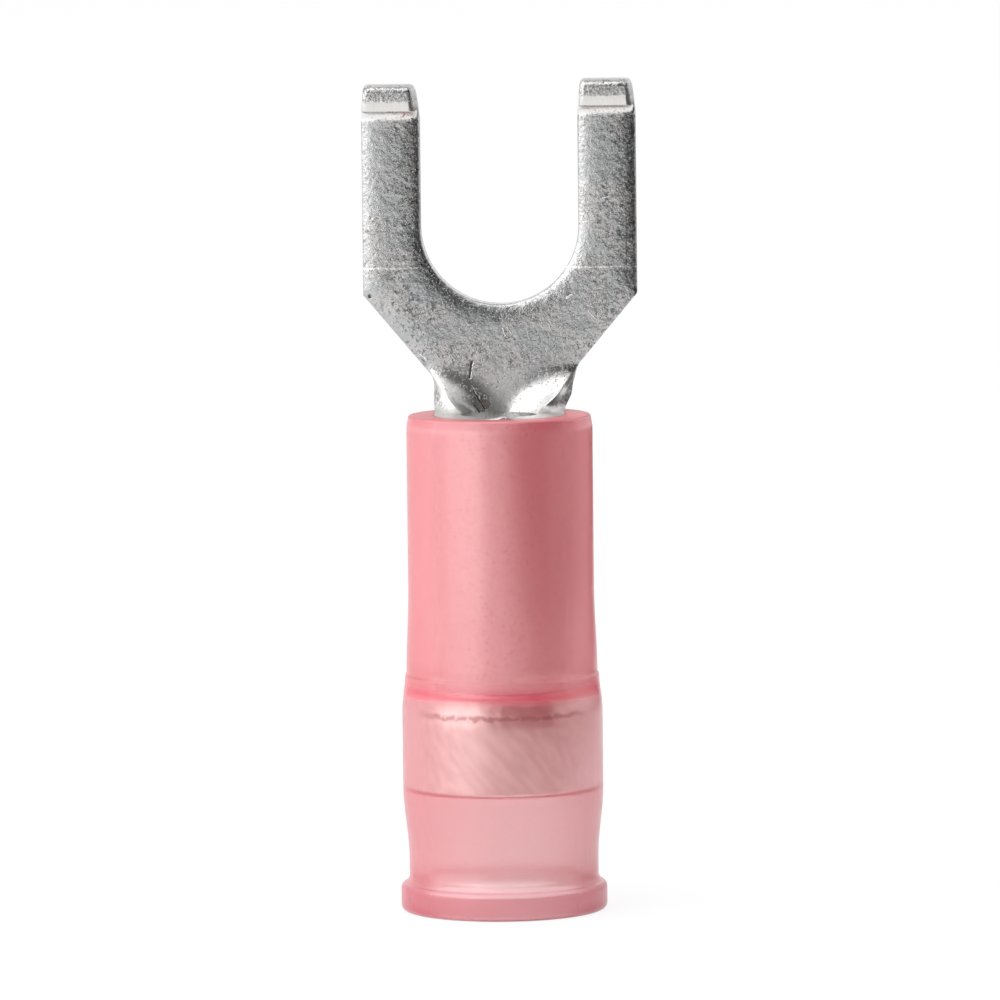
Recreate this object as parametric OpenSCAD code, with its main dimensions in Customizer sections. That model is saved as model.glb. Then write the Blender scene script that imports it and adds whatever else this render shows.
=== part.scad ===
// Flanged fork terminal with a nylon sleeve and an inner grip sleeve.
// Millimetres. +Z runs along the barrel from the wire entry to the fork tips,
// the tongue lies at the back (+Y) and the barrel's seam and the bent tips face the front (-Y).
// The origin is the centre of the sleeve's open end, on which the terminal stands.

/* [Fork tongue] */
// Thickness of the sheet that the fork and the barrel are made of
stock = 0.65; // [0.5:0.05:0.8]
// Width across both arms
fork_w = 6.4; // [5.8:0.1:8]
// Width of the slot for the stud
slot_w = 3.7; // [3:0.1:4.2]
// Height from the neck corners to the shoulder corners
shoulder_rise = 2.03; // [1.4:0.02:2.8]
// Height from the shoulder corners to the centre of the slot's round root
slot_rise = 1.62; // [1.3:0.02:2.6]
// Straight length of each arm, from the centre of the slot's root to the bend
arm_len = 2.55; // [1.8:0.05:5]
// Inside radius of the bend at the tips
bend_r = 0.2; // [0.1:0.02:0.4]
// How far each tip stands out in front of the tongue's face
tip_reach = 1; // [0.8:0.05:1.6]
// How much each side of a bend draws in as it rises
bend_draft = 0.08; // [0.02:0.01:0.12]
// How much each side of a tip draws in towards its end
tip_draft = 0.05; // [0.02:0.01:0.1]
// Corner radius at the end of each tip
tip_corner = 0.16; // [0.08:0.02:0.24]
// Width of the rounding that the punch leaves along the front edges
punch_w = 0.2; // [0.12:0.01:0.26]
// Depth of the rounding that the punch leaves along the front edges
punch_d = 0.1; // [0.05:0.01:0.11]

/* [Throat] */
// Width of the neck between the tongue and the barrel, measured along the sheet
neck_w = 3; // [2.6:0.02:3.4]
// Height of the neck corners above the sleeve
neck_rise = 0.7; // [0.62:0.01:1]
// Height of the rounding above and below each neck corner
neck_round = 0.25; // [0.1:0.01:0.3]
// Height from the neck corners up to the flat sheet
flat_rise = 0.45; // [0.36:0.01:0.8]
// Depth of the barrel's rim below the sleeve's top
rim_depth = 0.04; // [0.02:0.01:0.4]
// Radius of the corner between the neck's edge and the barrel's rim
rim_round = 0.2; // [0.1:0.02:0.26]

/* [Wire barrel] */
// Diameter of the barrel's bore
wire_bore = 1.75; // [1.5:0.05:1.95]
// Width of the seam's groove
seam_w = 0.12; // [0.08:0.01:0.2]
// Depth of the seam's groove
seam_d = 0.1; // [0.05:0.01:0.2]
// Chamfer at the barrel's wire end
lead_in = 0.18; // [0.08:0.02:0.3]
// Number of grooves round the bore that bite into the wire
groove_count = 3; // [1:1:4]
// Distance from one groove to the next
groove_pitch = 0.9; // [0.6:0.05:1]
// Width of each groove
groove_w = 0.24; // [0.1:0.02:0.4]
// Depth of each groove
groove_d = 0.07; // [0.03:0.01:0.12]

/* [Nylon sleeve] */
// Length of the sleeve's upper half, which holds the barrel
upper_len = 6.44; // [4.5:0.02:9]
// Wall of the upper half round the barrel
upper_wall = 0.63; // [0.45:0.01:0.8]
// Extra wall where the upper half meets the outer step
step_swell = 0.06; // [0.02:0.01:0.12]
// Height over which that extra wall fades out
swell_len = 2; // [1:0.1:3.5]
// Height of the taper under the sleeve's top edge
top_taper_h = 0.3; // [0.15:0.01:0.6]
// How far that taper draws in
top_taper_w = 0.04; // [0.02:0.01:0.1]
// Rounding of the sleeve's top edge
top_round = 0.06; // [0.02:0.01:0.12]
// Height of the outer step above the inner shoulder
step_rise = 0.37; // [0.2:0.01:0.8]
// Width of the outer step
step_w = 0.035; // [0.015:0.005:0.08]
// Length of the lower half, from the open end to the inner shoulder
lower_len = 5.16; // [4.6:0.02:7]
// Wall of the lower half
lower_wall = 0.4; // [0.3:0.01:0.55]
// Inner lip that keeps the grip sleeve in its seat
lip = 0.13; // [0.06:0.01:0.2]
// Height over which the lower half widens from its waist to the grip sleeve
widen_len = 1.65; // [0.8:0.05:1.9]
// Height of the flange at the open end
flange_h = 0.66; // [0.4:0.02:0.8]
// How far the flange stands out from the waist
flange_w = 0.2; // [0.1:0.01:0.5]
// Rounding of the flange's edges
flange_round = 0.14; // [0.06:0.02:0.2]
// Widening of the bore at the open end
mouth_w = 0.2; // [0.05:0.01:0.3]
// Depth of that widening
mouth_h = 0.7; // [0.3:0.05:1.2]

/* [Grip sleeve] */
// Outer diameter of the grip sleeve
grip_d = 3.85; // [3.6:0.05:4.4]
// Wall of the grip sleeve
grip_wall = 0.2; // [0.12:0.02:0.3]
// Length of the grip sleeve
grip_len = 2.26; // [1.6:0.02:2.6]
// Length of its end that is turned in towards the barrel
turn_len = 0.47; // [0.2:0.01:0.8]
// How far that end is turned in
turn_in = 0.22; // [0.1:0.01:0.26]

/* [Fits] */
// Radial clearance between a metal piece and the nylon round it
press_gap = 0.015; // [0.005:0.005:0.03]
// End clearance between the grip sleeve and the barrel
end_gap = 0.01; // [0.005:0.005:0.05]

/* [Hidden] */
$fn = 96;

// Overrun of a cutter past the face that it cuts
over = 0.3;
// How far the throat runs into the tongue and into the barrel, and how far it lies under their faces there
sink = 0.2;
under = 0.015;
// Facets across the punch rounding and the curled sheet, and along the throat's corner and its neck
punch_steps = 3;
curl_steps = 28;
corner_steps = 6;
neck_steps = 14;
// Segments of an eased run of a sleeve's outline, and of a rounded edge
ease_steps = 8;
round_steps = 6;

bore_r = wire_bore / 2;
barrel_r = bore_r + stock;
mid_r = bore_r + stock / 2;
front_y = bore_r;
fork_half = fork_w / 2;
slot_r = slot_w / 2;
neck_half = neck_w / 2;

shoulder_z = lower_len;
step_z = shoulder_z + step_rise;
sleeve_top = lower_len + upper_len;
rim_z = sleeve_top - rim_depth;
neck_z = sleeve_top + neck_rise;
flat_z = neck_z + flat_rise;
corner_z = neck_z + shoulder_rise;
slot_z = corner_z + slot_rise;
bend_z = slot_z + arm_len;
bend_y = front_y - bend_r;
tip_rise = bend_r + stock;
edge_slope = (fork_half - neck_half) / shoulder_rise;
edge_angle = atan(edge_slope);
punch_r = (punch_w * punch_w + punch_d * punch_d) / (2 * punch_d);

seat_r = grip_d / 2 + press_gap;
sleeve_bore_r = barrel_r + press_gap;
grip_top = shoulder_z - end_gap;
grip_z = grip_top - grip_len;
lower_bore_r = seat_r - lip;
waist_r = lower_bore_r + lower_wall;
band_r = seat_r + lower_wall;
flange_r = waist_r + flange_w;
upper_r = sleeve_bore_r + upper_wall;
swell_r = upper_r + step_swell;
step_r = swell_r + step_w;

// Rises from 0 to 1 with level ends
function eased(t) = let (u = min(1, max(0, t))) u * u * (3 - 2 * u);

// Depth of the punch rounding at a distance from the edge
function punch_drop(from_edge) =
  from_edge >= punch_w ? 0 : punch_r - sqrt(max(0, punch_r * punch_r - pow(punch_w - from_edge, 2)));

// Outline of an arm across its width: sheet depth behind the front face, and position from the slot's edge outwards
function arm_outline(width) = concat(
  [for (i = [0:punch_steps]) let (a = punch_w * i / punch_steps) [punch_drop(a), a]],
  [for (i = [punch_steps:-1:0]) let (a = punch_w * i / punch_steps) [punch_drop(a), width - a]],
  [[stock, width], [stock, 0]]
);

// Curvature of the sheet at a height: the barrel's inside the sleeve, then less and less, and none at the tongue
function curvature(z) = pow(min(1, max(0, (flat_z - z) / (flat_z - sleeve_top))), 2) / mid_r;

// How far the sheet's edge stands out from the neck's at a height over the neck corners
function slant(up) =
  edge_slope * (up <= -neck_round ? 0 : up >= neck_round ? up : pow(up + neck_round, 2) / (4 * neck_round));

// Half-width of the sheet above the barrel's rim: a round corner, then the neck, then the slanted edge
function half_width(z) =
  let (low = max(0, rim_z + rim_round - z))
  neck_half + slant(z - neck_z) + rim_round - sqrt(max(0, rim_round * rim_round - low * low));

// A point of the curled sheet: distance along it from the centre line, and depth behind its front face
function sheet_point(along, depth, curve) =
  let (off = depth - stock / 2)
  curve < 0.0001 ? [along, mid_r + off]
  : let (a = along * curve * 180 / PI) [(1 / curve + off) * sin(a), mid_r - 1 / curve + (1 / curve + off) * cos(a)];

// Places across the sheet, closer together along the punch-rounded edges
function stations(half, edge) = concat(
  [for (i = [0:punch_steps]) -half + edge * i / punch_steps],
  [for (i = [1:curl_steps - 1]) (half - edge) * (2 * i / curl_steps - 1)],
  [for (i = [punch_steps:-1:0]) half - edge * i / punch_steps]
);

// One closed ring of the throat: the back face from left to right, then the front face from right to left
function throat_ring(z, half, edge, curve) =
  let (across = stations(half, edge), last = len(across) - 1)
  concat(
    [for (s = across) let (p = sheet_point(s, stock - under, curve)) [p[0], p[1], z]],
    [for (i = [last:-1:0])
      let (
        s = across[i],
        drop = punch_drop((half - abs(s)) * punch_w / edge),
        p = sheet_point(s, under + drop, curve)
      )
      [p[0], p[1], z]]
  );

// An eased run of an outline from one radius and height to another
function eased_run(from, to) = [
  for (i = [1:ease_steps])
    let (t = i / ease_steps)
    [from[0] + (to[0] - from[0]) * eased(t), from[1] + (to[1] - from[1]) * t]
];

// Points of a quarter turn round a centre
function round_edge(centre, radius, start) = [
  for (i = [0:round_steps])
    let (a = start + 90 * i / round_steps)
    [centre[0] + radius * cos(a), centre[1] + radius * sin(a)]
];

// The punch rounding as a cutter: distance in from the edge, and depth behind the front face
module punch_profile() {
  polygon(concat(
    [for (i = [punch_steps:-1:0]) let (a = punch_w * i / punch_steps) [a, punch_drop(a)]],
    [[-over, punch_d], [-over, -over], [punch_w, -over]]
  ));
}

// The tongue from the throat up to the centre of the slot's root
module tongue_web() {
  low_half = half_width(flat_z);
  difference() {
    translate([0, front_y + stock, 0])
      rotate([90, 0, 0])
        linear_extrude(stock)
          difference() {
            polygon([
              [-low_half, flat_z], [low_half, flat_z], [fork_half, corner_z], [fork_half, slot_z],
              [-fork_half, slot_z], [-fork_half, corner_z]
            ]);
            translate([0, slot_z])
              circle(slot_r);
          }
    translate([0, front_y, slot_z])
      rotate([-90, 0, 0])
        rotate_extrude(angle = 180)
          translate([slot_r, 0])
            punch_profile();
    for (side = [0, 1])
      mirror([side, 0, 0]) {
        translate([-fork_half, front_y, corner_z - over])
          linear_extrude(slot_z - corner_z + 2 * over)
            punch_profile();
        translate([-fork_half, front_y, corner_z])
          rotate([0, -edge_angle, 0])
            translate([0, 0, -(corner_z - flat_z) / cos(edge_angle) - 2 * over])
              linear_extrude((corner_z - flat_z) / cos(edge_angle) + 3 * over)
                punch_profile();
      }
  }
}

// The right arm above the slot's root, with its bent tip
module arm() {
  width = fork_half - slot_r;
  outline = arm_outline(width);
  translate([0, front_y, slot_z])
    linear_extrude(arm_len)
      polygon([for (p = outline) [slot_r + p[1], p[0]]]);
  difference() {
    intersection() {
      bent_tip(width, outline);
      tip_taper(width);
    }
    translate([fork_half + over, front_y - tip_reach, bend_z + tip_rise])
      rotate([-90, 0, 90])
        linear_extrude(width + 2 * over)
          punch_profile();
  }
}

// The bend and the tip in front of it, with the tip's rounded corners
module bent_tip(width, outline) {
  tip_len = tip_reach - bend_r;
  translate([slot_r, bend_y, bend_z])
    rotate([90, 0, 90])
      rotate_extrude(angle = 90)
        polygon([for (p = outline) [bend_r + p[0], p[1]]]);
  intersection() {
    translate([slot_r, bend_y, bend_z + bend_r])
      rotate([90, 0, 0])
        linear_extrude(tip_len)
          polygon([for (p = outline) [p[1], p[0]]]);
    translate([slot_r, bend_y, bend_z])
      linear_extrude(tip_rise + over)
        polygon(concat(
          [[width, 0], [0, 0]],
          round_edge([tip_draft + tip_corner, -tip_len + tip_corner], tip_corner, 180),
          round_edge([width - tip_draft - tip_corner, -tip_len + tip_corner], tip_corner, 270)
        ));
  }
}

// The space within which a bend narrows as it rises
module tip_taper(width) {
  high = tip_rise + over;
  drawn = bend_draft * high / tip_rise;
  translate([slot_r, front_y + stock + over, bend_z])
    rotate([90, 0, 0])
      linear_extrude(tip_reach + stock + 2 * over)
        polygon([[0, -over], [width, -over], [width, 0], [width - drawn, high], [drawn, high], [0, 0]]);
}

// The neck of the sheet, which curls from the flat tongue into the back of the barrel
module throat() {
  slant_w = punch_w / cos(edge_angle);
  heights = concat(
    [rim_z - sink],
    [for (i = [0:corner_steps]) rim_z + rim_round * (1 - cos(90 * i / corner_steps))],
    [for (i = [1:neck_steps]) let (low = rim_z + rim_round) low + (flat_z - low) * i / neck_steps],
    [flat_z + sink]
  );
  rings = [
    for (z = heights)
      let (
        at = min(max(z, rim_z), flat_z),
        edge = punch_w + (slant_w - punch_w) * eased((z - neck_z) / (flat_z - neck_z))
      )
      throat_ring(z, half_width(at) - under, edge, curvature(at))
  ];
  count = len(rings[0]);
  last = len(rings) - 1;
  row = count / 2;
  sides = [
    for (j = [0:last - 1], i = [0:count - 1])
      let (a = j * count + i, b = j * count + (i + 1) % count, c = b + count, d = a + count)
      each [[a, b, c], [a, c, d]]
  ];
  caps = [
    for (i = [0:row - 2])
      let (a = i, b = i + 1, c = count - 2 - i, d = count - 1 - i, up = last * count)
      each [[c, b, a], [d, c, a], [up + a, up + b, up + c], [up + a, up + c, up + d]]
  ];
  polyhedron(points = [for (r = rings) each r], faces = concat(sides, caps));
}

// The closed tube of the barrel, with its seam and its chamfered wire end
module barrel() {
  difference() {
    translate([0, 0, shoulder_z])
      cylinder(r = barrel_r, h = rim_z - shoulder_z);
    translate([0, 0, shoulder_z - over])
      cylinder(r = bore_r, h = rim_z - shoulder_z + 2 * over);
    translate([0, 0, shoulder_z - over])
      cylinder(r1 = bore_r + lead_in + over, r2 = bore_r, h = lead_in + over);
    translate([0, 0, shoulder_z - over])
      linear_extrude(rim_z - shoulder_z + 2 * over)
        polygon([
          [-seam_w / 2 - seam_w * over / seam_d / 2, -barrel_r - over],
          [seam_w / 2 + seam_w * over / seam_d / 2, -barrel_r - over],
          [0, -barrel_r + seam_d]
        ]);
    for (i = [0:groove_count - 1])
      translate([0, 0, (shoulder_z + rim_z) / 2 + (i - (groove_count - 1) / 2) * groove_pitch])
        rotate_extrude()
          polygon([
            [bore_r - over, -groove_w / 2], [bore_r, -groove_w / 2], [bore_r + groove_d, -groove_w / 4],
            [bore_r + groove_d, groove_w / 4], [bore_r, groove_w / 2], [bore_r - over, groove_w / 2]
          ]);
  }
}

module fork_and_barrel() {
  color("#c9c8c4")
    union() {
      tongue_web();
      arm();
      mirror([1, 0, 0])
        arm();
      throat();
      barrel();
    }
}

module nylon_sleeve() {
  flange_low = [flange_r - flange_round, flange_round];
  flange_high = [flange_r - flange_round, flange_h - flange_round];
  waist_z = flange_h + flange_round;
  band_z = grip_z;
  band_top = grip_top - turn_len;
  taper_z = sleeve_top - top_taper_h;
  top_edge = [upper_r - top_taper_w - top_round, sleeve_top - top_round];
  color("#e28b93")
    rotate_extrude()
      polygon(concat(
        [[lower_bore_r + mouth_w, 0]],
        round_edge(flange_low, flange_round, -90),
        round_edge(flange_high, flange_round, 0),
        [[waist_r, waist_z], [waist_r, band_z - widen_len]],
        eased_run([waist_r, band_z - widen_len], [band_r, band_z]),
        eased_run([band_r, band_top], [step_r, step_z]),
        [[swell_r, step_z + step_w]],
        eased_run([swell_r, step_z + step_w], [upper_r, step_z + step_w + swell_len]),
        [[upper_r, taper_z]],
        round_edge(top_edge, top_round, 0),
        [
          [sleeve_bore_r, sleeve_top], [sleeve_bore_r, shoulder_z], [seat_r, shoulder_z],
          [seat_r, grip_z - end_gap], [lower_bore_r, grip_z - end_gap - lip], [lower_bore_r, mouth_h]
        ]
      ));
}

module grip_sleeve() {
  outer = grip_d / 2;
  inner = outer - grip_wall;
  bent_z = grip_top - turn_len;
  color("#cdb9ad")
    rotate_extrude()
      polygon(concat(
        [[inner, grip_z], [outer, grip_z], [outer, bent_z]],
        eased_run([outer, bent_z], [outer - turn_in, grip_top]),
        [[inner - turn_in, grip_top]],
        [for (i = [1:ease_steps])
          let (t = 1 - i / ease_steps)
          [inner - turn_in * eased(t), bent_z + turn_len * t]]
      ));
}

fork_and_barrel();
nylon_sleeve();
grip_sleeve();
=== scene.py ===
# %% [markdown]
# # A fork terminal, stamped, rolled and sleeved
# The object is a crimp terminal for the end of a wire: a fork punched from tin-plated copper,
# whose lower half is rolled into a barrel, pressed into a translucent red nylon sleeve.
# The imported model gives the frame, and every piece here is made in millimetres and
# scaled to metres once, as its last step, so that it lies where its solid lies.

# %% Load the frame
import math

import bmesh
import bpy
from mathutils import Matrix, Vector, geometry, noise


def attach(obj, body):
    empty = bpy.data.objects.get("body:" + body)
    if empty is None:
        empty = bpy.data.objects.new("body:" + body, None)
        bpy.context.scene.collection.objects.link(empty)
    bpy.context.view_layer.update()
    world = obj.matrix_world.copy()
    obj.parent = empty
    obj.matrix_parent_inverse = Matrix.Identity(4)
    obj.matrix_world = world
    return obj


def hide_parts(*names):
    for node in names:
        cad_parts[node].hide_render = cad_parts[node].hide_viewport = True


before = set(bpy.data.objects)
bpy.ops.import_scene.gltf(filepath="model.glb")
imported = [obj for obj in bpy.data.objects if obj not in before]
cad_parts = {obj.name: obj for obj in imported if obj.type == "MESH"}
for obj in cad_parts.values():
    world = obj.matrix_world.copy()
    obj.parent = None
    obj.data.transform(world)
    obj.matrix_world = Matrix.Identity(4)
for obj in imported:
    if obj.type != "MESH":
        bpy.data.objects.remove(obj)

MM = 0.001
TINY = 0.0001
scene = bpy.context.scene
scene.view_settings.view_transform = "Standard"
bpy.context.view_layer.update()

# %% [markdown]
# ## The camera
# The photograph is taken from far away with a long lens, a little above the middle and a
# little to the right, so lines that are parallel on the part stay nearly parallel.
# A camera could be aimed by hand, but the angles below were fitted to points of the part
# that are easy to find in the picture, so the matrix is built from them.

# %% Aim the camera
AZIMUTH = math.radians(2.705)
ELEVATION = math.radians(5.332)
ROLL = math.radians(-0.629)
AIM = Vector((-0.004, 0, 9.594)) * MM
DISTANCE = 196.36 * MM
SENSOR = 36
LENS = SENSOR * 8.425

back = Vector((
    math.sin(AZIMUTH) * math.cos(ELEVATION),
    -math.cos(AZIMUTH) * math.cos(ELEVATION),
    math.sin(ELEVATION),
))
level = Vector((math.cos(AZIMUTH), math.sin(AZIMUTH), 0))
upright = back.cross(level)
right = level * math.cos(ROLL) + upright * math.sin(ROLL)
up = upright * math.cos(ROLL) - level * math.sin(ROLL)

camera_data = bpy.data.cameras.new("camera")
camera_data.sensor_width = SENSOR
camera_data.lens = LENS
camera_data.clip_start = 0.01
camera_data.clip_end = 10
camera = bpy.data.objects.new("camera", camera_data)
scene.collection.objects.link(camera)
facing = Matrix((right, up, back)).transposed().to_4x4()
camera.matrix_world = Matrix.Translation(AIM + back * DISTANCE) @ facing
scene.camera = camera
print("camera in mm:", [round(value / MM, 1) for value in camera.location])

# %% [markdown]
# ## Shader maths as Python
# A finish is a web of nodes. Wiring each Math node by hand hides the formula, so one
# small class wraps a socket and turns + - * / into Math nodes, and one method of the
# finish adds every other kind of node.

# %% Sockets that add up
class Wire:
    """An output socket that takes part in arithmetic, adding a Math node for each sign."""

    def __init__(self, finish, socket):
        self.finish = finish
        self.socket = socket

    def maths(self, operation, first, second):
        return self.finish.add("ShaderNodeMath", {"operation": operation}, {0: first, 1: second})

    def __add__(self, other):
        return self.maths("ADD", self, other)

    def __radd__(self, other):
        return self.maths("ADD", other, self)

    def __sub__(self, other):
        return self.maths("SUBTRACT", self, other)

    def __rsub__(self, other):
        return self.maths("SUBTRACT", other, self)

    def __mul__(self, other):
        return self.maths("MULTIPLY", self, other)

    def __rmul__(self, other):
        return self.maths("MULTIPLY", other, self)

    def __truediv__(self, other):
        return self.maths("DIVIDE", self, other)

    def __abs__(self):
        return self.maths("ABSOLUTE", self, 0)


# %% A finish
class Finish:
    """A material whose nodes are added one call at a time."""

    def __init__(self, name, tree=None):
        if tree is None:
            self.material = bpy.data.materials.new(name)
            self.material.use_nodes = True
            tree = self.material.node_tree
        self.tree = tree
        self.tree.nodes.clear()

    def add(self, kind, settings, values, output=0):
        node = self.tree.nodes.new(kind)
        for name, setting in settings.items():
            setattr(node, name, setting)
        for name, value in values.items():
            if isinstance(value, Wire):
                self.tree.links.new(value.socket, node.inputs[name])
            else:
                node.inputs[name].default_value = value
        return Wire(self, node.outputs[output]) if node.outputs else None

    def ramp(self, value, low, high):
        """Rises smoothly from 0 at low to 1 at high."""
        return self.add(
            "ShaderNodeMapRange",
            {"interpolation_type": "SMOOTHSTEP"},
            {"Value": value, "From Min": low, "From Max": high},
        )

    def mix(self, share, first, second):
        """A blend of two colours."""
        return self.add("ShaderNodeMix", {"data_type": "RGBA"}, {0: share, 6: first, 7: second}, 2)

    def millimetres(self):
        """Places on the piece, in millimetres."""
        return self.stretch(self.add("ShaderNodeTexCoord", {}, {}, "Object"), (1000, 1000, 1000))

    def flat_place(self):
        """Places on the flat blank, kept as an attribute of the fork."""
        return self.add("ShaderNodeAttribute", {"attribute_name": "flat_place"}, {}, "Vector")

    def axis(self, vector, letter):
        return self.add("ShaderNodeSeparateXYZ", {}, {0: vector}, letter)

    def stretch(self, vector, factors):
        return self.add("ShaderNodeVectorMath", {"operation": "MULTIPLY"}, {0: vector, 1: factors})

    def shift(self, vector, amount):
        return self.add("ShaderNodeVectorMath", {"operation": "ADD"}, {0: vector, 1: amount})

    def turn(self, vector, degrees):
        """Turns coordinates about the front-to-back axis."""
        return self.add(
            "ShaderNodeVectorRotate",
            {"rotation_type": "Y_AXIS"},
            {"Vector": vector, "Angle": math.radians(degrees)},
        )

    def grain(self, vector, scale, detail=2.0, roughness=0.5):
        """Soft noise from 0 to 1."""
        return self.add(
            "ShaderNodeTexNoise",
            {"noise_dimensions": "3D"},
            {"Vector": vector, "Scale": scale, "Detail": detail, "Roughness": roughness},
        )

    def end(self, shader, kind="ShaderNodeOutputMaterial"):
        self.add(kind, {}, {"Surface": shader})


def grey(value):
    return (value, value, value, 1)


print("shader helpers ready")

# %% [markdown]
# ## The studio
# The picture is a catalogue shot on white. The world is plain white, and the floor is white
# paper that looks lighter to the camera and in reflections than it lights the part.
# Soft boxes stand on the left and above. Cards out of the picture give the metal its look:
# dark ones in front and on the right for the grey face and the dark right-hand edges, and a
# small grey one overhead for the tops of the tips. Only reflections see them, but for the
# one on the right, which also keeps light off the right of the sleeve.

# %% The world
world = bpy.data.worlds.new("studio")
world.use_nodes = True
scene.world = world
sky = Finish("studio", world.node_tree)
sky.end(sky.add("ShaderNodeBackground", {}, {"Color": grey(1), "Strength": 1.0}), "ShaderNodeOutputWorld")
print("world ready")

# %% The floor
FLOOR_HALF = 2.0


def stage_sheet(name, half_x, half_y, matrix, material):
    """A flat sheet of the set, which isn't part of the object."""
    sheet = bmesh.new()
    bmesh.ops.create_grid(sheet, x_segments=1, y_segments=1, size=1)
    bmesh.ops.scale(sheet, vec=(half_x, half_y, 1), verts=sheet.verts)
    bmesh.ops.transform(sheet, matrix=matrix, verts=sheet.verts)
    mesh = bpy.data.meshes.new(name)
    sheet.to_mesh(mesh)
    sheet.free()
    mesh.materials.append(material)
    made = bpy.data.objects.new(name, mesh)
    scene.collection.objects.link(made)
    return made


paper = Finish("white_paper")
seen = paper.add("ShaderNodeLightPath", {}, {}, "Is Camera Ray")
for ray in ("Is Glossy Ray", "Is Transmission Ray"):
    seen = seen + paper.add("ShaderNodeLightPath", {}, {}, ray)
matte = paper.add("ShaderNodeBsdfDiffuse", {}, {"Color": grey(0.9)})
glow = paper.add("ShaderNodeEmission", {}, {"Color": grey(1), "Strength": 1.0})
paper.end(paper.add("ShaderNodeMixShader", {}, {0: seen * 0.85, 1: matte, 2: glow}))
stage_sheet("floor", FLOOR_HALF, FLOOR_HALF, Matrix.Identity(4), paper.material)
print("floor half width in m:", FLOOR_HALF)

# %% The cards
card_paint = Finish("dark_card")
card_paint.end(card_paint.add("ShaderNodeBsdfDiffuse", {}, {"Color": grey(0.03)}))
stand = Matrix.Rotation(math.radians(90), 4, "X")
quarter = Matrix.Rotation(math.radians(90), 4, "Z")
cards = {
    "front_card": (0.42, 0.27, Matrix.Translation((0.12, -0.6, 0.28)) @ stand),
    "right_card": (0.3, 0.3, Matrix.Translation((0.42, -0.35, 0.31)) @ quarter @ stand),
    "right_floor_card": (0.19, 0.4, Matrix.Translation((0.21, -0.2, 0.002))),
}
grey_paint = Finish("grey_card")
grey_paint.end(grey_paint.add("ShaderNodeBsdfDiffuse", {}, {"Color": grey(0.3)}))
cards["ceiling_card"] = (0.14, 0.14, Matrix.Translation((0, 0, 0.45)))
for name, (half_x, half_y, card_place) in cards.items():
    paint = grey_paint if name == "ceiling_card" else card_paint
    card = stage_sheet(name, half_x, half_y, card_place, paint.material)
    card.visible_camera = False
    card.visible_diffuse = name == "right_card"
    card.visible_shadow = name == "right_card"
print("cards:", len(cards))

# %% The lamps
def soft_box(name, place, width, height, brightness):
    """A lamp that faces the part, as bright as a white sheet times brightness."""
    lamp = bpy.data.lights.new(name, "AREA")
    lamp.shape = "RECTANGLE"
    lamp.size = width
    lamp.size_y = height
    lamp.energy = brightness * math.pi * width * height
    made = bpy.data.objects.new(name, lamp)
    scene.collection.objects.link(made)
    made.location = place
    made.rotation_mode = "QUATERNION"
    made.rotation_quaternion = (AIM - Vector(place)).to_track_quat("-Z", "Y")


soft_box("left_box", (-0.36, -0.24, 0.21), 0.7, 0.46, 1.5)
soft_box("top_box", (-0.08, -0.08, 0.5), 0.45, 0.45, 1.5)
print("lamps ready")

# %% [markdown]
# ## The blank
# The real fork starts as a flat blank, punched from strip, with a tail as wide as the
# barrel is round. Modelling the rolled shape directly would mean lofting sections, so
# the same order as in the press is used: a flat grid, shaped to the blank's outline,
# given its thickness and its punched edges while flat, and only then rolled and bent.
# The sizes are the ones of the part's source, but for the rim, which is level with the
# sleeve's end, as in the picture.

# %% Sizes of the sheet
STOCK = 0.65
BORE_R = 0.875
MID_R = BORE_R + STOCK / 2
FORK_HALF = 3.2
SLOT_R = 1.85
NECK_HALF = 1.5
NECK_ROUND = 0.25
RIM_ROUND = 0.2
SHOULDER_Z = 5.16
SEAM_Z = 11.6
SLEEVE_TOP = 11.6
NECK_Z = 12.3
FLAT_Z = 12.75
CORNER_Z = 14.33
SLOT_Z = 15.95
BEND_Z = 18.5
SEAM_GAP = 0.001
SEAM_HALF = math.pi * MID_R - SEAM_GAP / 2
EDGE_SLOPE = (FORK_HALF - NECK_HALF) / (CORNER_Z - NECK_Z)


def eased(t):
    """Rises from 0 to 1 with level ends."""
    u = min(1, max(0, t))
    return u * u * (3 - 2 * u)


def curvature(z):
    """How tightly the sheet is rolled: closed up to the rim, then less, and flat at the tongue."""
    share = min(1, max(0, (FLAT_Z - z) / (FLAT_Z - SEAM_Z)))
    return share**2 / MID_R


def slant(up):
    """How far the edge stands out from the neck's at a height over the neck corners."""
    if abs(up) < NECK_ROUND:
        return EDGE_SLOPE * (up + NECK_ROUND) ** 2 / (4 * NECK_ROUND)
    return EDGE_SLOPE * max(0, up)


def half_width(z):
    """Half-width of the flat blank above the rim: a round corner, the neck and the slanted edge."""
    low = max(0, SEAM_Z + RIM_ROUND - z)
    corner = RIM_ROUND - math.sqrt(max(0, RIM_ROUND**2 - low**2))
    return min(FORK_HALF, NECK_HALF + slant(z - NECK_Z) + corner)


print("half width at the rim and the neck:", round(half_width(SEAM_Z), 3), round(half_width(NECK_Z), 3))

# %% [markdown]
# ## Three grids for half a blank
# The tail that becomes the barrel is a rectangle, the neck a narrower strip on top of it, and
# the fork a third strip that runs round the slot and up the arm, with every row square
# to the slot, so the slot's round root needs no boolean, which would leave long thin
# triangles that roll badly. Each row joins an inner point to an outer point, with its columns
# close together along the cut edges, where the punch will round them. The first rows of
# each strip end on the points of the strip before, so the grids merge.

# %% Rows of the tail
EDGE_STOPS = [0, 0.02, 0.06, 0.12, 0.19, 0.27, 0.36, 0.46, 0.56]
GROOVE_PITCH = 0.9
GROOVE_W = 0.24
LEAD_IN = 0.18
LOW_ROW = 6.4
HIGH_ROWS = [10.2, 11]


def steps(first, last, count):
    """Even places after first, up to last."""
    return [first + (last - first) * (i + 1) / count for i in range(count)]


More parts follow.
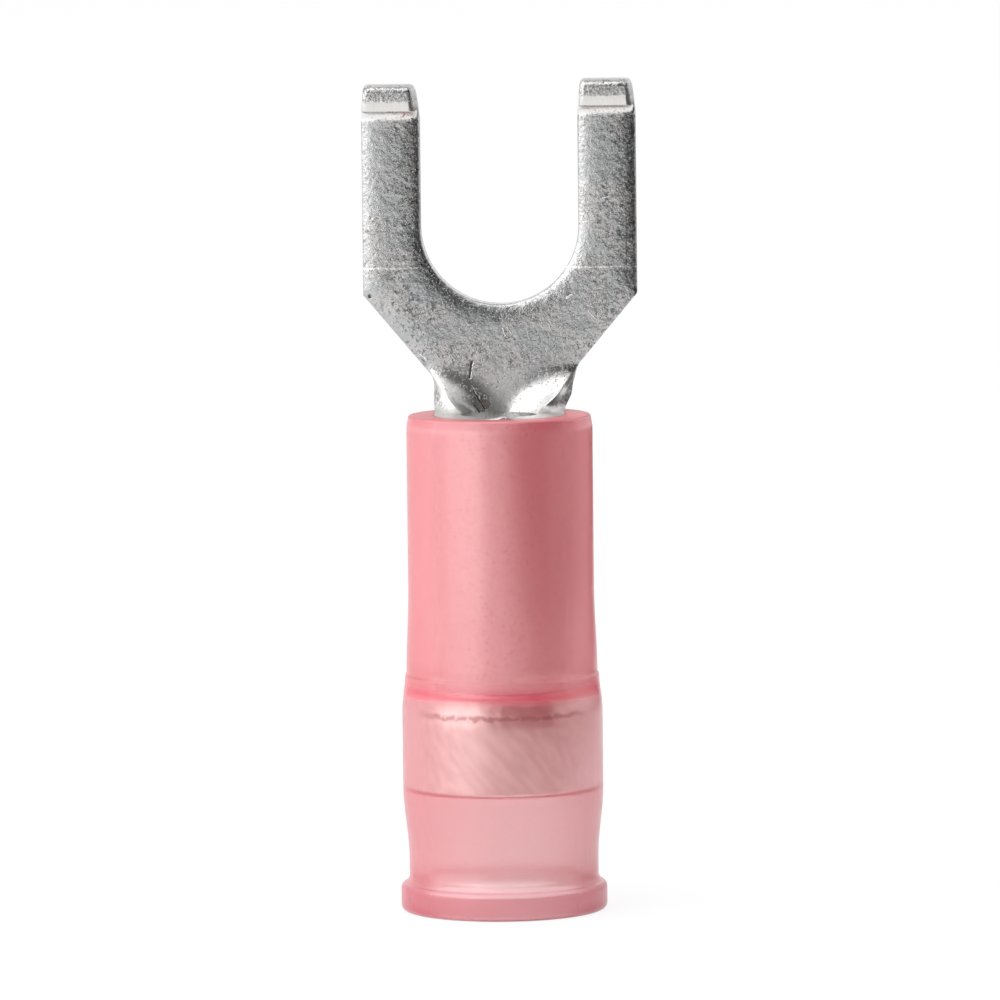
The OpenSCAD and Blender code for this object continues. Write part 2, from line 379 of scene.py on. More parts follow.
def row_points(low, high, low_stops, high_stops, middle):
    """Points of a row: set distances from each end, and even ones between."""
    length = math.dist(low, high)
    places = low_stops + steps(low_stops[-1], length - high_stops[-1], middle)[:-1]
    places += [length - stop for stop in reversed(high_stops)]
    run = Vector(high) - Vector(low)
    return [Vector(low) + run * place / length for place in places]


def neck_row(z):
    return row_points((0, z), (half_width(z), z), [0], EDGE_STOPS, 20)


def barrel_row(z):
    """The points of the neck's lowest row, and then on to the seam."""
    neck = [Vector((point.x, z)) for point in neck_row(SEAM_Z)]
    return neck + row_points((half_width(SEAM_Z), z), (SEAM_HALF, z), [0], EDGE_STOPS, 24)[1:]


groove_heights = [(SHOULDER_Z + SEAM_Z) / 2 + i * GROOVE_PITCH for i in (-1, 0, 1)]
groove_rows = [z + GROOVE_W * part for z in groove_heights for part in (-0.5, -0.25, 0.25, 0.5)]
heights = [SHOULDER_Z, SHOULDER_Z + LEAD_IN, LOW_ROW] + groove_rows + HIGH_ROWS
heights += [SEAM_Z - stop for stop in reversed(EDGE_STOPS)]
barrel_rows = [barrel_row(z) for z in heights]
corner_turns = [math.radians(90 * i / 12) for i in range(13)]
neck_heights = [SEAM_Z + RIM_ROUND * (1 - math.cos(turn)) for turn in corner_turns]
neck_heights += steps(SEAM_Z + RIM_ROUND, FLAT_Z, 24)
neck_rows = [neck_row(z) for z in neck_heights]
tail_edge = [row[-1] for row in barrel_rows] + [row[-1] for row in neck_rows]
print("rows of the barrel and the neck:", len(barrel_rows), len(neck_rows))

# %% Rows of the fork
BEND_R = 0.2
BEND_MID_R = BEND_R + STOCK / 2
BEND_RUN = BEND_MID_R * math.pi / 2
TIP_RUN = 0.8
TIP_CORNER = 0.1
TIP_DRAFT = 0.05
tip_z = BEND_Z + BEND_RUN
end_z = tip_z + TIP_RUN


def root_row(point):
    """A row from the slot's round root out to a point of the outline."""
    ray = Vector((point[0], point[1] - SLOT_Z)).normalized() * SLOT_R
    return row_points((ray.x, SLOT_Z + ray.y), point, EDGE_STOPS, EDGE_STOPS, 6)


def drawn_in(z):
    """How far the sides of a tip stand in from the arm's sides."""
    into_corner = max(0, z - end_z + TIP_CORNER)
    round_off = TIP_CORNER - math.sqrt(max(0, TIP_CORNER**2 - into_corner**2))
    return TIP_DRAFT * max(0, z - tip_z) / TIP_RUN + round_off


def arm_row(z):
    side = drawn_in(z)
    narrow = 1 - 2 * side / (FORK_HALF - SLOT_R)
    stops = [stop * narrow for stop in EDGE_STOPS]
    return row_points((SLOT_R + side, z), (FORK_HALF - side, z), stops, stops, 6)


outline = neck_rows[-1] + [(half_width(z), z) for z in steps(FLAT_Z, CORNER_Z, 14)]
outline += [(FORK_HALF, z) for z in steps(CORNER_Z, SLOT_Z, 10)]
arm_heights = steps(SLOT_Z, BEND_Z, 10) + steps(BEND_Z, tip_z, 14)
arm_heights += steps(tip_z, end_z - EDGE_STOPS[-1], 3)[:-1] + [end_z - stop for stop in reversed(EDGE_STOPS)]
fork_rows = [root_row(point) for point in outline] + [arm_row(z) for z in arm_heights]
print("rows of the fork:", len(fork_rows), "blank's length:", round(end_z - SHOULDER_Z, 2))

# %% Shape the grids, mirror them and give them thickness
sheet = bmesh.new()
for rows in (barrel_rows, neck_rows, fork_rows):
    columns = len(rows[0]) - 1
    grid = bmesh.ops.create_grid(sheet, x_segments=columns, y_segments=len(rows) - 1, size=1)
    for vert in grid["verts"]:
        column = round((vert.co.x + 1) / 2 * columns)
        row = round((vert.co.y + 1) / 2 * (len(rows) - 1))
        vert.co = (rows[row][column].x, 0, rows[row][column].y)
bmesh.ops.mirror(sheet, geom=sheet.verts[:] + sheet.edges[:] + sheet.faces[:], axis="X", merge_dist=TINY)
bmesh.ops.remove_doubles(sheet, verts=sheet.verts, dist=TINY)
bmesh.ops.recalc_face_normals(sheet, faces=sheet.faces)
thick = bmesh.ops.extrude_face_region(sheet, geom=sheet.faces[:])
lifted = [item for item in thick["geom"] if isinstance(item, bmesh.types.BMVert)]
bmesh.ops.translate(sheet, vec=(0, STOCK, 0), verts=lifted)
bmesh.ops.recalc_face_normals(sheet, faces=sheet.faces)
for face in sheet.faces:
    face.smooth = True
    face.material_index = 1 if abs(face.normal.y) < 0.3 else 0
print("sheet's faces:", len(sheet.faces), "cut faces:", sum(face.material_index for face in sheet.faces))

# %% [markdown]
# ## Punched edges
# A punch pulls the front edge of the sheet over before it shears it, so the front edges
# are wide and soft and the back edges nearly sharp. A bevel gives a round of equal
# width and depth and folds over itself at the small corners of the tips, so the faces are
# pressed instead: each point sinks by its distance from the nearest cut. On the fork they
# are wider than in the part's source, to catch the light as in the picture.

# %% Press the edges
PUNCH_W = 0.56
PUNCH_D = 0.12
NECK_W = 0.14
NECK_D = 0.05
RIM_W = 0.05
RIM_D = 0.02
RIM_FADE = 0.3
TONGUE_LEAD = 0.1
BACK_ROUND = 0.05
TIP_ROUND = 0.13
GROOVE_D = 0.07


def to_segment(point, first, last):
    """Distance of a point from a short straight run of the outline."""
    nearest, share = geometry.intersect_point_line(point, first, last)
    return (point - first.lerp(last, min(1, max(0, share)))).length


def from_cut(x, z):
    """Distance of a point of the flat blank from its nearest cut edge."""
    if z < FLAT_Z:
        return min(to_segment(Vector((x, z)), *ends) for ends in zip(tail_edge, tail_edge[1:]))
    slanted = (NECK_HALF + (z - NECK_Z) * EDGE_SLOPE - x) / math.sqrt(1 + EDGE_SLOPE**2)
    if z < SLOT_Z:
        return max(0, min(slanted, FORK_HALF - x, math.dist((x, z), (0, SLOT_Z)) - SLOT_R))
    draft = TIP_DRAFT * max(0, z - tip_z) / TIP_RUN
    side = min(x - SLOT_R, FORK_HALF - x) - draft
    if side < TIP_CORNER and end_z - z < TIP_CORNER:
        return max(0, TIP_CORNER - math.dist((side, end_z - z), (TIP_CORNER, TIP_CORNER)))
    return max(0, min(side, end_z - z))


def sunk(distance, width, depth):
    """How deep a quarter of an ellipse lies at a distance from its edge."""
    share = max(0, 1 - distance / width)
    return depth * (1 - math.sqrt(max(0, 1 - share * share)))


def pressed(flat):
    """Depth in the sheet of a point of the blank's two faces."""
    distance = from_cut(abs(flat.x), flat.z)
    if flat.y > STOCK / 2:
        width = TINY + BACK_ROUND * eased((flat.z - SEAM_Z) * 4)
        width += (TIP_ROUND - BACK_ROUND) * eased((flat.z - BEND_Z) / BEND_RUN)
        return STOCK - sunk(distance, width, width)
    if flat.z < SHOULDER_Z + TINY:
        return LEAD_IN
    groove = GROOVE_D if any(abs(flat.z - z) < GROOVE_W * 0.3 for z in groove_heights) else 0
    wide = eased((flat.z - NECK_Z + TONGUE_LEAD) / (FLAT_Z - NECK_Z)) - eased((flat.z - BEND_Z) / BEND_RUN)
    off_rim = eased((flat.z - SEAM_Z) / RIM_FADE)
    width = RIM_W + (NECK_W - RIM_W) * off_rim + (PUNCH_W - NECK_W) * wide
    depth = RIM_D + (NECK_D - RIM_D) * off_rim + (PUNCH_D - NECK_D) * wide
    return max(groove, sunk(distance, width, depth))


for vert in sheet.verts:
    vert.co.y = pressed(vert.co)
print("depths run from", round(min(vert.co.y for vert in sheet.verts), 3), "to", STOCK)

# %% [markdown]
# ## Roll and bend
# Each point of the flat sheet is moved once: across the sheet becomes an angle round the
# barrel, and along the arms becomes the turn at the tips. A Simple Deform modifier bends
# by one amount only, and the throat needs an amount that changes with height, so the move
# is a function. The real pressing isn't quite even, so its small errors are moved in too.
# The flat place is kept as an attribute, because marks of the press follow the sheet and
# not the rolled shape.

# %% Roll the barrel and bend the tips
BEND_Y = BORE_R - BEND_R
BEND_DRAFT = 0.08
TIP_RISE = BEND_R + STOCK
CROWN_W = 0.2
CROWN_D = 0.1
ARM_MID = (SLOT_R + FORK_HALF) / 2
ARM_HALF = (FORK_HALF - SLOT_R) / 2
LEFT_TIP = -0.07
RIGHT_TIP = 0.035
RIGHT_NECK = 0.1
BEAD = 0.05
BEAD_W = 0.2
BEAD_H = 0.3
BEAD_RISE = 0.25
SEAM_OFF = 0.16
THROAT_RUN = 0.5
NECK_FADE = 0.45


def uneven(across, depth, along):
    """The press's small errors: tips of two heights, a wide neck, a seam off the middle with a bead."""
    up_arm = eased((along - SLOT_Z) / (BEND_Z - SLOT_Z))
    in_barrel = 1 - eased((along - SEAM_Z) / THROAT_RUN)
    at_neck = (1 - in_barrel) * (1 - eased((along - NECK_Z) / NECK_FADE))
    slip = (RIGHT_TIP if across > 0 else LEFT_TIP) * up_arm
    near_seam = eased(1 - (SEAM_HALF - abs(across)) / BEAD_W)
    slip += BEAD * near_seam * eased((along - SEAM_Z + BEAD_H) / BEAD_RISE)
    aside = max(0, across) / NECK_HALF * RIGHT_NECK * at_neck
    aside -= SEAM_OFF * (across / SEAM_HALF) ** 2 * in_barrel
    return Vector((across + aside, depth, along)), slip


def rolled(across, depth, along):
    """A point of the tail and the throat, curled round the barrel's axis."""
    if curvature(along) < TINY:
        return Vector((across, BORE_R + depth, along))
    radius = 1 / curvature(along)
    turn = across / radius
    out = radius + depth - STOCK / 2
    return Vector((out * math.sin(turn), MID_R - radius + out * math.cos(turn), along))


def bent(across, depth, along):
    """A point of a tip, turned forward round the bend."""
    travel = along - BEND_Z
    turn = min(math.pi / 2, travel / BEND_MID_R)
    past = max(0, travel - BEND_RUN)
    radius = BEND_R + depth
    fall = sunk(end_z - along, CROWN_W, CROWN_D) * (depth / STOCK) ** 4
    z = BEND_Z + radius * math.sin(turn) - fall
    middle = math.copysign(ARM_MID, across)
    narrow = 1 - BEND_DRAFT * (z - BEND_Z) / TIP_RISE / ARM_HALF
    return Vector((middle + (across - middle) * narrow, BEND_Y + radius * math.cos(turn) - past, z))


flat_place = sheet.verts.layers.float_vector.new("flat_place")
for vert in sheet.verts:
    vert[flat_place] = vert.co
    blank, slip = uneven(*vert.co)
    vert.co = bent(*blank) if blank.z > BEND_Z else rolled(*blank)
    vert.co.z += slip
bmesh.ops.recalc_face_normals(sheet, faces=sheet.faces)
for edge in sheet.edges:
    sides = {face.material_index for face in edge.link_faces}
    edge.smooth = len(sides) == 1 or max(vert.co.z for vert in edge.verts) > SEAM_Z + TINY
print("top of the tips:", round(max(vert.co.z for vert in sheet.verts), 3))


# %% [markdown]
# ## From shape to piece
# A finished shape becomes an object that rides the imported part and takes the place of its
# solid. Its points are scaled to metres, so the object itself stays unscaled at the origin.

# %% Make it a piece
def as_piece(shape, name, node, materials, sharp=None):
    """Scales a shape to metres and sets it in the scene in place of its solid."""
    bmesh.ops.scale(shape, vec=(MM, MM, MM), verts=shape.verts)
    mesh = bpy.data.meshes.new(name)
    shape.to_mesh(mesh)
    shape.free()
    if sharp:
        mesh.set_sharp_from_angle(angle=math.radians(sharp))
    for material in materials:
        mesh.materials.append(material)
    piece = bpy.data.objects.new(name, mesh)
    scene.collection.objects.link(piece)
    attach(piece, "root")
    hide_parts(node)
    print(name, "faces:", len(mesh.polygons))


# %% [markdown]
# ## The nylon sleeve
# The sleeve is one moulded tube: a flange at the wire end, a waist, a bulge over the
# grip sleeve, an outer step and a plain upper half. Every section through its axis
# is the same, so its outline is drawn once and spun. A lathe modifier would do the same,
# but a spin leaves a plain mesh to bevel. Extra points hold the bores straight close to their
# corners, since smooth shading would bend the light along the whole wall without them.

# %% Outline of the sleeve
STEP_Z = 5.53
STEP_W = 0.035
GRIP_TOP = 5.15
GRIP_Z = 2.89
BENT_Z = 4.68
SEAT_R = 1.94
SLEEVE_BORE_R = 1.54
LOWER_BORE_R = 1.81
WAIST_R = 2.21
BAND_R = 2.34
FLANGE_R = 2.41
FLANGE_H = 0.66
FLANGE_ROUND = 0.14
UPPER_R = 2.17
SWELL_R = 2.23
STEP_R = 2.265
TOP_ROUND = 0.06
TOP_TAPER_H = 0.3
TOP_TAPER_W = 0.04
TAPER_LEAD = 0.04
MOUTH_R = 2.01
MOUTH_H = 0.7
LIP = 0.05
END_GAP = 0.01
WIDEN = 1.65
HOLD = 0.06
SWELL_FADE = 2.0


def eased_run(first, last, count=16):
    """An outline that eases from one radius and height to another."""
    return [
        (first[0] + (last[0] - first[0]) * eased(i / count), first[1] + (last[1] - first[1]) * i / count)
        for i in range(1, count + 1)
    ]


def round_edge(centre, radius, start, count=6):
    """A quarter turn of an outline."""
    turns = [math.radians(start + 90 * i / count) for i in range(count + 1)]
    return [(centre[0] + radius * math.cos(turn), centre[1] + radius * math.sin(turn)) for turn in turns]


sleeve_line = [(MOUTH_R, 0)]
sleeve_line += round_edge((FLANGE_R - FLANGE_ROUND, FLANGE_ROUND), FLANGE_ROUND, -90)
sleeve_line += round_edge((FLANGE_R - FLANGE_ROUND, FLANGE_H - FLANGE_ROUND), FLANGE_ROUND, 0)
sleeve_line += [(WAIST_R, FLANGE_H + FLANGE_ROUND), (WAIST_R, GRIP_Z - WIDEN)]
sleeve_line += eased_run((WAIST_R, GRIP_Z - WIDEN), (BAND_R, GRIP_Z))
sleeve_line += [(BAND_R, BENT_Z)]
sleeve_line += eased_run((BAND_R, BENT_Z), (STEP_R, STEP_Z))
sleeve_line += [(SWELL_R, STEP_Z + STEP_W)]
sleeve_line += eased_run((SWELL_R, STEP_Z + STEP_W), (UPPER_R, STEP_Z + STEP_W + SWELL_FADE))
taper_z = SLEEVE_TOP - TOP_TAPER_H
sleeve_line += [(UPPER_R, taper_z - TAPER_LEAD), (UPPER_R, taper_z)]
sleeve_line += [(UPPER_R - TOP_TAPER_W / 6, taper_z + TOP_TAPER_H / 6)]
sleeve_line += round_edge((UPPER_R - TOP_TAPER_W - TOP_ROUND, SLEEVE_TOP - TOP_ROUND), TOP_ROUND, 0)
lip_z = GRIP_Z - END_GAP
bores = [(SLEEVE_BORE_R, SLEEVE_TOP, SHOULDER_Z), (SEAT_R, SHOULDER_Z, lip_z)]
bores += [(LOWER_BORE_R, lip_z - LIP, MOUTH_H)]
for radius, high, low in bores:
    sleeve_line += [(radius, z) for z in (high, high - HOLD, low + HOLD, low)]
print("points of the sleeve's outline:", len(sleeve_line))

# %% Spin the sleeve
SPIN_STEPS = 160
CORNER_ANGLE = math.radians(32)
SLEEVE_EDGE = 0.025


def spun(line):
    """A closed outline spun round the barrel's axis."""
    shape = bmesh.new()
    verts = [shape.verts.new((radius, 0, z)) for radius, z in line]
    edges = [shape.edges.new((verts[i - 1], verts[i])) for i in range(len(verts))]
    bmesh.ops.spin(
        shape, geom=verts + edges, cent=(0, 0, 0), axis=(0, 0, 1), dvec=(0, 0, 0),
        angle=2 * math.pi, steps=SPIN_STEPS, use_merge=True, use_duplicate=False,
    )
    bmesh.ops.remove_doubles(shape, verts=shape.verts, dist=TINY)
    bmesh.ops.recalc_face_normals(shape, faces=shape.faces)
    for face in shape.faces:
        face.smooth = True
    return shape


sleeve = spun(sleeve_line)
corners = [edge for edge in sleeve.edges if edge.calc_face_angle(0) > CORNER_ANGLE]
bmesh.ops.bevel(
    sleeve, geom=corners, offset=SLEEVE_EDGE, offset_type="OFFSET", segments=2, profile=0.5,
    affect="EDGES", material=-1, clamp_overlap=True,
)
for face in sleeve.faces:
    face.smooth = True
print("sleeve's faces:", len(sleeve.faces), "corner edges:", len(corners))

# %% [markdown]
# ## The grip sleeve
# Inside the nylon sits a thin metal ring that is crimped on the wire's insulation. Its
# upper end is turned in towards the barrel, and a thin tube that is turned in puckers,
# which shows through the nylon as a ragged dark line. It is spun like the sleeve, and
# small moves of its points, taken from seeded noise, give the puckers and the ragged end.

# %% Spin the grip sleeve
GRIP_R = 1.925
GRIP_WALL = 0.2
TURN_IN = 0.22
PUCKER = 0.035
RAGGED = 0.06
FOLDS = 14
NOTCHES = 12
FOLD_RUN = 0.12
FOLD_FADE = 0.4
RAGGED_RUN = 0.5

inner_r = GRIP_R - GRIP_WALL
turned = [(GRIP_R, BENT_Z)] + [
    (GRIP_R - TURN_IN * (z - BENT_Z) / (GRIP_TOP - BENT_Z), z) for z in steps(BENT_Z, GRIP_TOP, 8)
]
grip_line = [(inner_r, GRIP_Z), (GRIP_R, GRIP_Z)]
grip_line += [(GRIP_R, z) for z in steps(GRIP_Z, BENT_Z, 6)[:-1]]
grip_line += turned
grip_line += [(radius - GRIP_WALL, z) for radius, z in reversed(turned)]
grip = spun(grip_line)
for vert in grip.verts:
    around = Vector((vert.co.x, vert.co.y, 0)).normalized()
    past_bend = vert.co.z - BENT_Z
    near_bend = eased((past_bend + FOLD_RUN) / FOLD_RUN) * (1 - 0.6 * eased(past_bend / FOLD_FADE))
    near_end = 1 - eased((vert.co.z - GRIP_Z) / RAGGED_RUN)
    vert.co -= around * PUCKER * (noise.noise(around * FOLDS) * 0.5 + 0.5) * near_bend
    vert.co.z += RAGGED * (noise.noise(around * NOTCHES) * 0.5 + 0.5) * near_end
bmesh.ops.recalc_face_normals(grip, faces=grip.faces)
print("grip sleeve's faces:", len(grip.faces))

# %% [markdown]
# ## Tin plate
# The fork is dull silver: a thin layer of tin over punched copper, with fine grain, small
# pits and bright flecks, and scratches from the press and from tumbling with other parts.
# Grain could be one noise, but the real surface has grain of several sizes, so a cloud, a
# grain and two sparse kinds of speck are mixed. Marks that belong to the sheet, such
# as the line that the press leaves across the arms, are placed by the kept flat place.

# %% Grain of the tin plate
tin = Finish("tin_plate")
place = tin.millimetres()
flat = tin.flat_place()
cloud = tin.grain(place, 1.4, 2)
patch = tin.grain(place, 5, 3)
fine = tin.grain(place, 24, 3, 0.6)
grit = tin.grain(tin.shift(place, (4, 6, 8)), 12, 3, 0.62)
flat_x = tin.axis(flat, "X")
front = tin.ramp(tin.axis(flat, "Y"), 0.5, 0.3)
flat_z = tin.axis(flat, "Z")
# Dark specks gather more on the right half of each arm.
right_halves = tin.ramp(flat_x, 2.2, 2.8) + tin.ramp(flat_x, -2.6, -2.2) * tin.ramp(flat_x, -1.2, -1.7)
specks = tin.add("ShaderNodeTexNoise", {}, {
    "Vector": tin.shift(place, (1, 5, 2)), "Scale": 11.0, "Detail": 2.0, "Roughness": 0.6, "Distortion": 0.8,
})
specks = tin.ramp(specks, 0.54, 0.61) * tin.ramp(cloud + 0.25 * patch + 0.18 * right_halves, 0.55, 0.76)
tongue = tin.ramp(flat_z, NECK_Z - 0.1, FLAT_Z + 0.05)
pits = tin.ramp(tin.grain(tin.shift(place, (7, 3, 1)), 19, 2), 0.6, 0.68)
flecks = tin.ramp(tin.grain(tin.shift(place, (2, 9, 5)), 21, 2), 0.61, 0.7)
print("nodes of the tin's grain:", len(tin.tree.nodes))

# %% Marks of the tin plate
def stroke(finish, coordinates, first, last, width):
    """1 along a straight scratch between two places of the flat sheet, 0 away from it."""
    run = Vector((last[0] - first[0], 0, last[1] - first[1]))
    offset = finish.shift(finish.stretch(coordinates, (1, 0, 1)), (-first[0], 0, -first[1]))
    along = finish.add("ShaderNodeVectorMath", {"operation": "DOT_PRODUCT"}, {0: offset, 1: run}, 1)
    along = finish.add("ShaderNodeClamp", {}, {0: along / run.length_squared})
    foot = finish.add("ShaderNodeVectorMath", {"operation": "SCALE"}, {0: tuple(run), "Scale": along})
    gap = finish.add("ShaderNodeVectorMath", {"operation": "DISTANCE"}, {0: offset, 1: foot}, 1)
    return 1 - finish.ramp(gap, width * 0.3, width)


def strokes(finish, coordinates, marks):
    """The strongest of several scratches."""
    sum_up = stroke(finish, coordinates, *marks[0])
    for mark in marks[1:]:
        sum_up = finish.add("ShaderNodeMath", {"operation": "MAXIMUM"}, {
            0: sum_up,
            1: stroke(finish, coordinates, *mark),
        })
    return sum_up


GOUGES = (
    ((-0.62, 12.8), (-0.7, 12.42), 0.035),
    ((-0.66, 12.1), (-0.46, 11.7), 0.045),
    ((-0.76, 11.82), (-0.68, 11.64), 0.035),
    ((-3.02, 14.36), (-3.0, 14.33), 0.06),
)
BRIGHT_MARKS = (
    ((2.13, 13.95), (2.28, 13.8), 0.02),
    ((1.62, 14.28), (1.74, 14.36), 0.025),
    ((0.12, 13.58), (0.16, 13.42), 0.02),
    ((0.2, 13.6), (0.3, 13.48), 0.018),
    ((-1.83, 12.98), (-1.7, 12.84), 0.025),
    ((2.42, 16.58), (2.68, 16.66), 0.012),
)
WORN = (((-2.12, 18.98), (-2.18, 18.72), 0.035), ((-0.52, 11.92), (-0.44, 11.78), 0.03))
PRESS_LINE_Z = 14.97
SIDE_LINE_X = 2.99
wander = tin.add("ShaderNodeTexNoise", {}, {"Vector": place, "Scale": 7.0}, 1)
wobble = tin.add("ShaderNodeVectorMath", {"operation": "MULTIPLY_ADD"}, {
    0: wander, 1: (0.08, 0.08, 0.08), 2: flat,
})
gouges = strokes(tin, wobble, GOUGES) * front
bright_marks = strokes(tin, wobble, BRIGHT_MARKS) * front
worn = strokes(tin, wobble, WORN) * front
press_line = front - front * tin.ramp(abs(flat_z - PRESS_LINE_Z + 0.02 * cloud), 0.01, 0.035)
side_line = front - front * tin.ramp(abs(flat_x - SIDE_LINE_X + 0.04 * patch), 0.01, 0.03)
side_line = side_line * tin.ramp(flat_z, 14.4, 14.6) * tin.ramp(flat_z, 16.4, 15.6)
side_line = side_line * tin.ramp(fine, 0.35, 0.55)
streaks = tin.grain(tin.stretch(tin.turn(place, 35), (55, 55, 3)), 1, 1)
streaks = tin.ramp(streaks, 0.66, 0.74) * tin.ramp(patch, 0.45, 0.6)
print("gouges, bright marks and worn spots:", len(GOUGES), len(BRIGHT_MARKS), len(WORN))

# %% Tin plate finish
tone = tin.mix(tin.ramp(cloud, 0.3, 0.7), (0.51, 0.52, 0.525, 1), (0.63, 0.605, 0.595, 1))
tone = tin.mix(specks * (0.1 + 0.7 * tongue), tone, (0.15, 0.175, 0.185, 1))
# Painted highlight, partly also cleaner tin: the throat's trough and the barrel under the sleeve are made
# lighter.
clean_tin_and_highlight = 0.4 * tin.ramp(flat_z, FLAT_Z, NECK_Z - 0.2) + 0.6 * tin.ramp(flat_z, SEAM_Z, SEAM_Z - 0.1)
# Painted highlight, partly also burnished tin: a lighter band with fewer pits round the bend of the tips.
bend_burnish_and_highlight = tin.ramp(flat_z, BEND_Z - 0.06, BEND_Z + 0.02)
bend_burnish_and_highlight = bend_burnish_and_highlight * tin.ramp(flat_z, BEND_Z + 0.75, BEND_Z + 0.55)
tone = tin.mix(clean_tin_and_highlight + bend_burnish_and_highlight, tone, (0.9, 0.89, 0.88, 1))
tone = tin.mix(pits * (0.5 - 0.4 * bend_burnish_and_highlight), tone, (0.2, 0.2, 0.205, 1))
tone = tin.mix(flecks * 0.55, tone, (0.88, 0.88, 0.87, 1))
tone = tin.mix(streaks * 0.35 + press_line * 0.85 + bright_marks * 0.9, tone, (0.92, 0.9, 0.88, 1))
tone = tin.mix(gouges * 0.9 + side_line * 0.5, tone, (0.05, 0.06, 0.055, 1))
tone = tin.mix(worn * 0.8, tone, (0.5, 0.16, 0.08, 1))
height = (grit * 0.5 + fine * 0.15 + patch) * (0.3 + 0.7 * tongue)
height = height - pits * 0.3 - gouges * 0.8 + streaks * 0.2 + bright_marks * 0.3
bump = tin.add("ShaderNodeBump", {}, {"Strength": 0.6, "Distance": 0.00003, "Height": height})
tin.end(tin.add("ShaderNodeBsdfPrincipled", {}, {
    "Base Color": tone,
    "Metallic": 1.0,
    "Roughness": 0.25 + 0.1 * fine + 0.1 * pits,
    "Normal": bump,
}))
print("nodes of the tin plate:", len(tin.tree.nodes))

# %% [markdown]
# ## The sheared edge
# A punch first cuts the sheet, which leaves a smooth bright band under the soft front
# edge, and then tears it, which leaves a dull grainy band towards the back. Both show on
# the ends of the tips. One noisy border between two finishes, placed by the depth
# in the sheet, gives them. The barrel's rim is cut cleaner, so little of it is torn.

# %% Sheared edge finish
cut = Finish("tin_plate_cut_edge")
place = cut.millimetres()
flat = cut.flat_place()
depth = cut.axis(flat, "Y")
border = depth + 0.22 * (cut.grain(place, 7, 3) - 0.5)
cut_z = cut.axis(flat, "Z")
torn = cut.ramp(border, 0.25, 0.31) * (0.2 + 0.8 * cut.ramp(cut_z, SEAM_Z + 0.02, SEAM_Z + 0.2))
crumbs = cut.grain(place, 16, 4, 0.65)
lines = cut.grain(cut.stretch(place, (26, 26, 3)), 1, 2)
smooth_band = cut.mix(lines, (0.74, 0.72, 0.7, 1), (0.88, 0.86, 0.84, 1))
tone = cut.mix(cut.ramp(crumbs, 0.35, 0.65), (0.32, 0.31, 0.32, 1), (0.82, 0.81, 0.8, 1))
tone = cut.mix(torn, smooth_band, tone)
height = torn * crumbs * 1.4 + (1 - torn) * lines * 0.3
bump = cut.add("ShaderNodeBump", {}, {"Strength": 0.6, "Distance": 0.00002, "Height": height})
cut.end(cut.add("ShaderNodeBsdfPrincipled", {}, {
    "Base Color": tone,
    "Metallic": 1.0,
    "Roughness": 0.34 + 0.06 * torn,
    "Normal": bump,
}))
print("nodes of the sheared edge:", len(cut.tree.nodes))

# %% [markdown]
# ## Red nylon
# Nylon is neither clear nor opaque: the barrel shows through it, blurred, and its pigment
# scatters a warm red of its own. A Principled shader has one colour for both, so a clear
# one with absorption in its depth is mixed with a scattering one. Where the wall is
# thick, at the flange and at the shoulder, and where the eye meets it at a slant, more light
# meets the pigment. The taper at the top is a deeper red, with a faint lighter line under it
# on the left, a painted highlight where the light comes from. These zones lie at known heights, so smooth
# ramps mark them.

# %% Zones of the sleeve
nylon = Finish("red_nylon")
place = nylon.millimetres()
height_z = nylon.axis(place, "Z")
flow = nylon.grain(nylon.stretch(place, (1, 1, 0.35)), 1.3, 3)
skin = nylon.grain(place, 9, 3)
bump = nylon.add("ShaderNodeBump", {}, {"Strength": 0.1, "Distance": 0.00002, "Height": skin})
across = nylon.stretch(place, (1, 1, 0))
radius = nylon.add("ShaderNodeVectorMath", {"operation": "LENGTH"}, {0: across}, 1)
shoulder = nylon.ramp(height_z, SHOULDER_Z - 0.14, SHOULDER_Z)
shoulder = shoulder * nylon.ramp(height_z, SHOULDER_Z + 0.34, SHOULDER_Z + 0.02)
band = nylon.ramp(height_z, GRIP_Z - 0.04, GRIP_Z + 0.06)
band = band * nylon.ramp(height_z, GRIP_TOP - 0.1, GRIP_TOP - 0.2)
flange = nylon.ramp(height_z, FLANGE_H + 0.19, FLANGE_H - 0.06)
tube = nylon.ramp(height_z, GRIP_Z + 0.06, GRIP_Z - 0.14)
rim = nylon.ramp(height_z, SLEEVE_TOP - 0.06, SLEEVE_TOP - 0.02)
crown = nylon.ramp(height_z, SLEEVE_TOP - 0.26, SLEEVE_TOP - 0.14) - rim
# Painted highlight: the faint line under the taper is lighter on the left only, where the light falls.
lit_left_side = nylon.ramp(nylon.axis(place, "X"), 0.6, -0.6)
taper_foot_highlight = nylon.ramp(abs(height_z - SLEEVE_TOP + 0.26), 0.08, 0.01) * lit_left_side
print("nodes of the zones:", len(nylon.tree.nodes))

# %% Red nylon finish
rough = 0.22 + 0.06 * flow + 0.12 * rim
pigment = nylon.mix(flow, (0.95, 0.18, 0.21, 1), (1.0, 0.23, 0.26, 1))
pigment = nylon.mix(shoulder, pigment, (0.8, 0.09, 0.14, 1))
pigment = nylon.mix(tube, pigment, (0.84, 0.19, 0.22, 1))
pigment = nylon.mix(crown * 0.5, pigment, (0.78, 0.12, 0.19, 1))
pigment = nylon.mix(taper_foot_highlight * 0.35, pigment, (1.0, 0.5, 0.52, 1))
